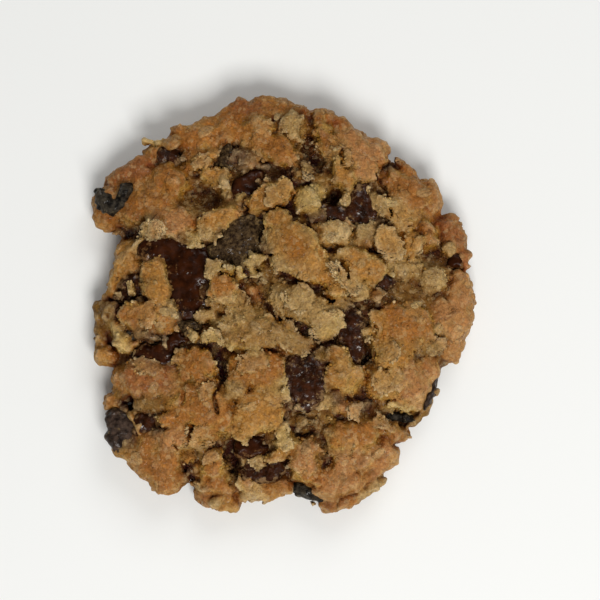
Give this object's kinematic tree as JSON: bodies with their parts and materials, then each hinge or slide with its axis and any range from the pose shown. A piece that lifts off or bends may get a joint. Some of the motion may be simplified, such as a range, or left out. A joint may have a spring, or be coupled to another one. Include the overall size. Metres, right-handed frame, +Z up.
{
  "type": "oatmeal chocolate chip cookie",
  "caption": "Rugged round cookie with a low domed top of crusty lumps and oat flakes, melted chocolate and raisins set in it, and a flat underside.",
  "frame": {"origin": "middle of the flat underside, on the surface that the cookie lies on", "axes": "+Z up, +Y along the longer side towards the edge that is at the top seen from above, +X to the right"},
  "size_m": [0.087, 0.0946, 0.0194],
  "materials": {
    "dough": "matt crust and crumb, golden brown",
    "chocolate": "melted and set again, glossy",
    "bloomed_chocolate": "dusty bloom, matt",
    "raisin": "wrinkled skin, half glossy"
  },
  "bodies": {
    "root": {"dough": "dough", "chocolate_pool": "chocolate", "chocolate_melted_top": "chocolate", "chocolate_chip_upper_edge": "chocolate", "chocolate_melted_upper_right": "chocolate", "chocolate_left": "chocolate", "chocolate_melted_left": "chocolate", "chocolate_chip_right": "chocolate", "chocolate_chunk_middle": "chocolate", "chocolate_melted_bottom": "chocolate", "chocolate_chip_bottom": "chocolate", "chocolate_chip_lower_left": "chocolate", "chocolate_chip_small": "chocolate", "chocolate_chip_right_edge": "chocolate", "chocolate_bloomed_middle": "bloomed_chocolate", "chocolate_bloomed_left": "bloomed_chocolate", "chocolate_chip_top_left": "bloomed_chocolate", "chocolate_chip_left": "raisin", "raisin_nose": "raisin", "raisin_lower_left": "raisin", "raisin_bottom_edge": "raisin", "raisin_lower_right": "raisin", "raisin_right_edge": "raisin"}
  },
  "joints": []
}
